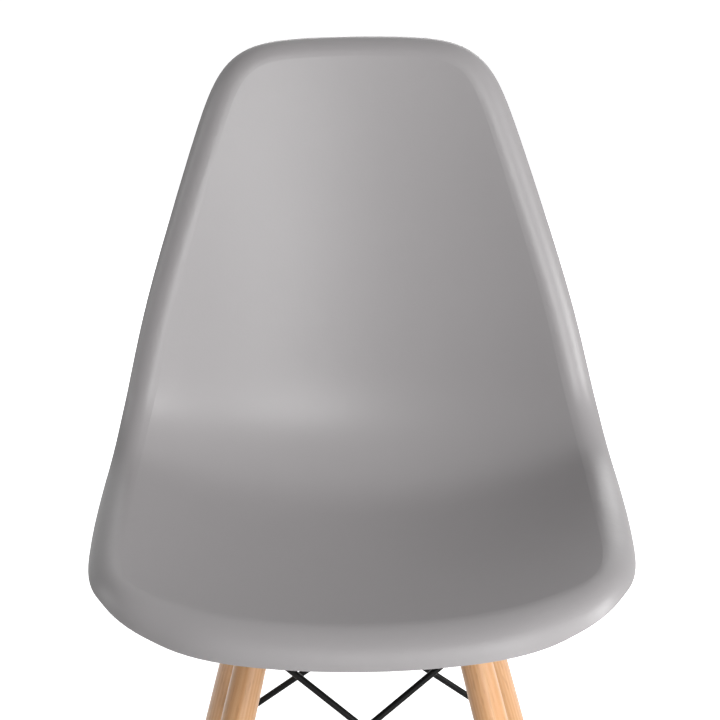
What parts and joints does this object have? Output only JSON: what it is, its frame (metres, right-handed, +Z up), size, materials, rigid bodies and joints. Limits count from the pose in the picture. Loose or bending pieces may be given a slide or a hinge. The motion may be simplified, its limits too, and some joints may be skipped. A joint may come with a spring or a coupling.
{
  "type": "chair",
  "caption": "Side chair: a one-piece moulded plastic shell with a rolled edge, on splayed beech dowel legs braced by crossed black steel rods.",
  "frame": {"origin": "on the floor, under the middle of the chair's outline", "axes": "+Z up, the chair faces -Y, +X is the sitter's left"},
  "size_m": [0.4634, 0.5321, 0.8217],
  "materials": {
    "shell_plastic": "fine moulded texture, mid grey polypropylene",
    "beech": "clear satin lacquer on beech",
    "black_steel": "black powder coat, satin",
    "zinc_steel": "bright zinc plate",
    "insert_brass": "turned",
    "spacer_rubber": "matt",
    "glide_plastic": "moulded"
  },
  "bodies": {
    "root": {"brace_front_inner": "black_steel", "brace_front_outer": "black_steel", "brace_left_inner": "black_steel", "brace_left_outer": "black_steel", "brace_rear_inner": "black_steel", "brace_rear_outer": "black_steel", "brace_right_inner": "black_steel", "brace_right_outer": "black_steel", "bracket_front_left": "black_steel", "bracket_front_right": "black_steel", "bracket_rear_left": "black_steel", "bracket_rear_right": "black_steel", "bracket_screws": "zinc_steel", "glide_front_left": "glide_plastic", "glide_front_right": "glide_plastic", "glide_nails": "zinc_steel", "glide_rear_left": "glide_plastic", "glide_rear_right": "glide_plastic", "leg_front_left": "beech", "leg_front_right": "beech", "leg_nuts": "black_steel", "leg_rear_left": "beech", "leg_rear_right": "beech", "leg_washers": "black_steel", "lower_leg_bolts": "black_steel", "rubber_spacers": "spacer_rubber", "seat_bolts": "zinc_steel", "seat_shell": "shell_plastic", "seat_washers": "zinc_steel", "threaded_inserts": "insert_brass", "upper_leg_bolts": "black_steel"}
  },
  "joints": []
}
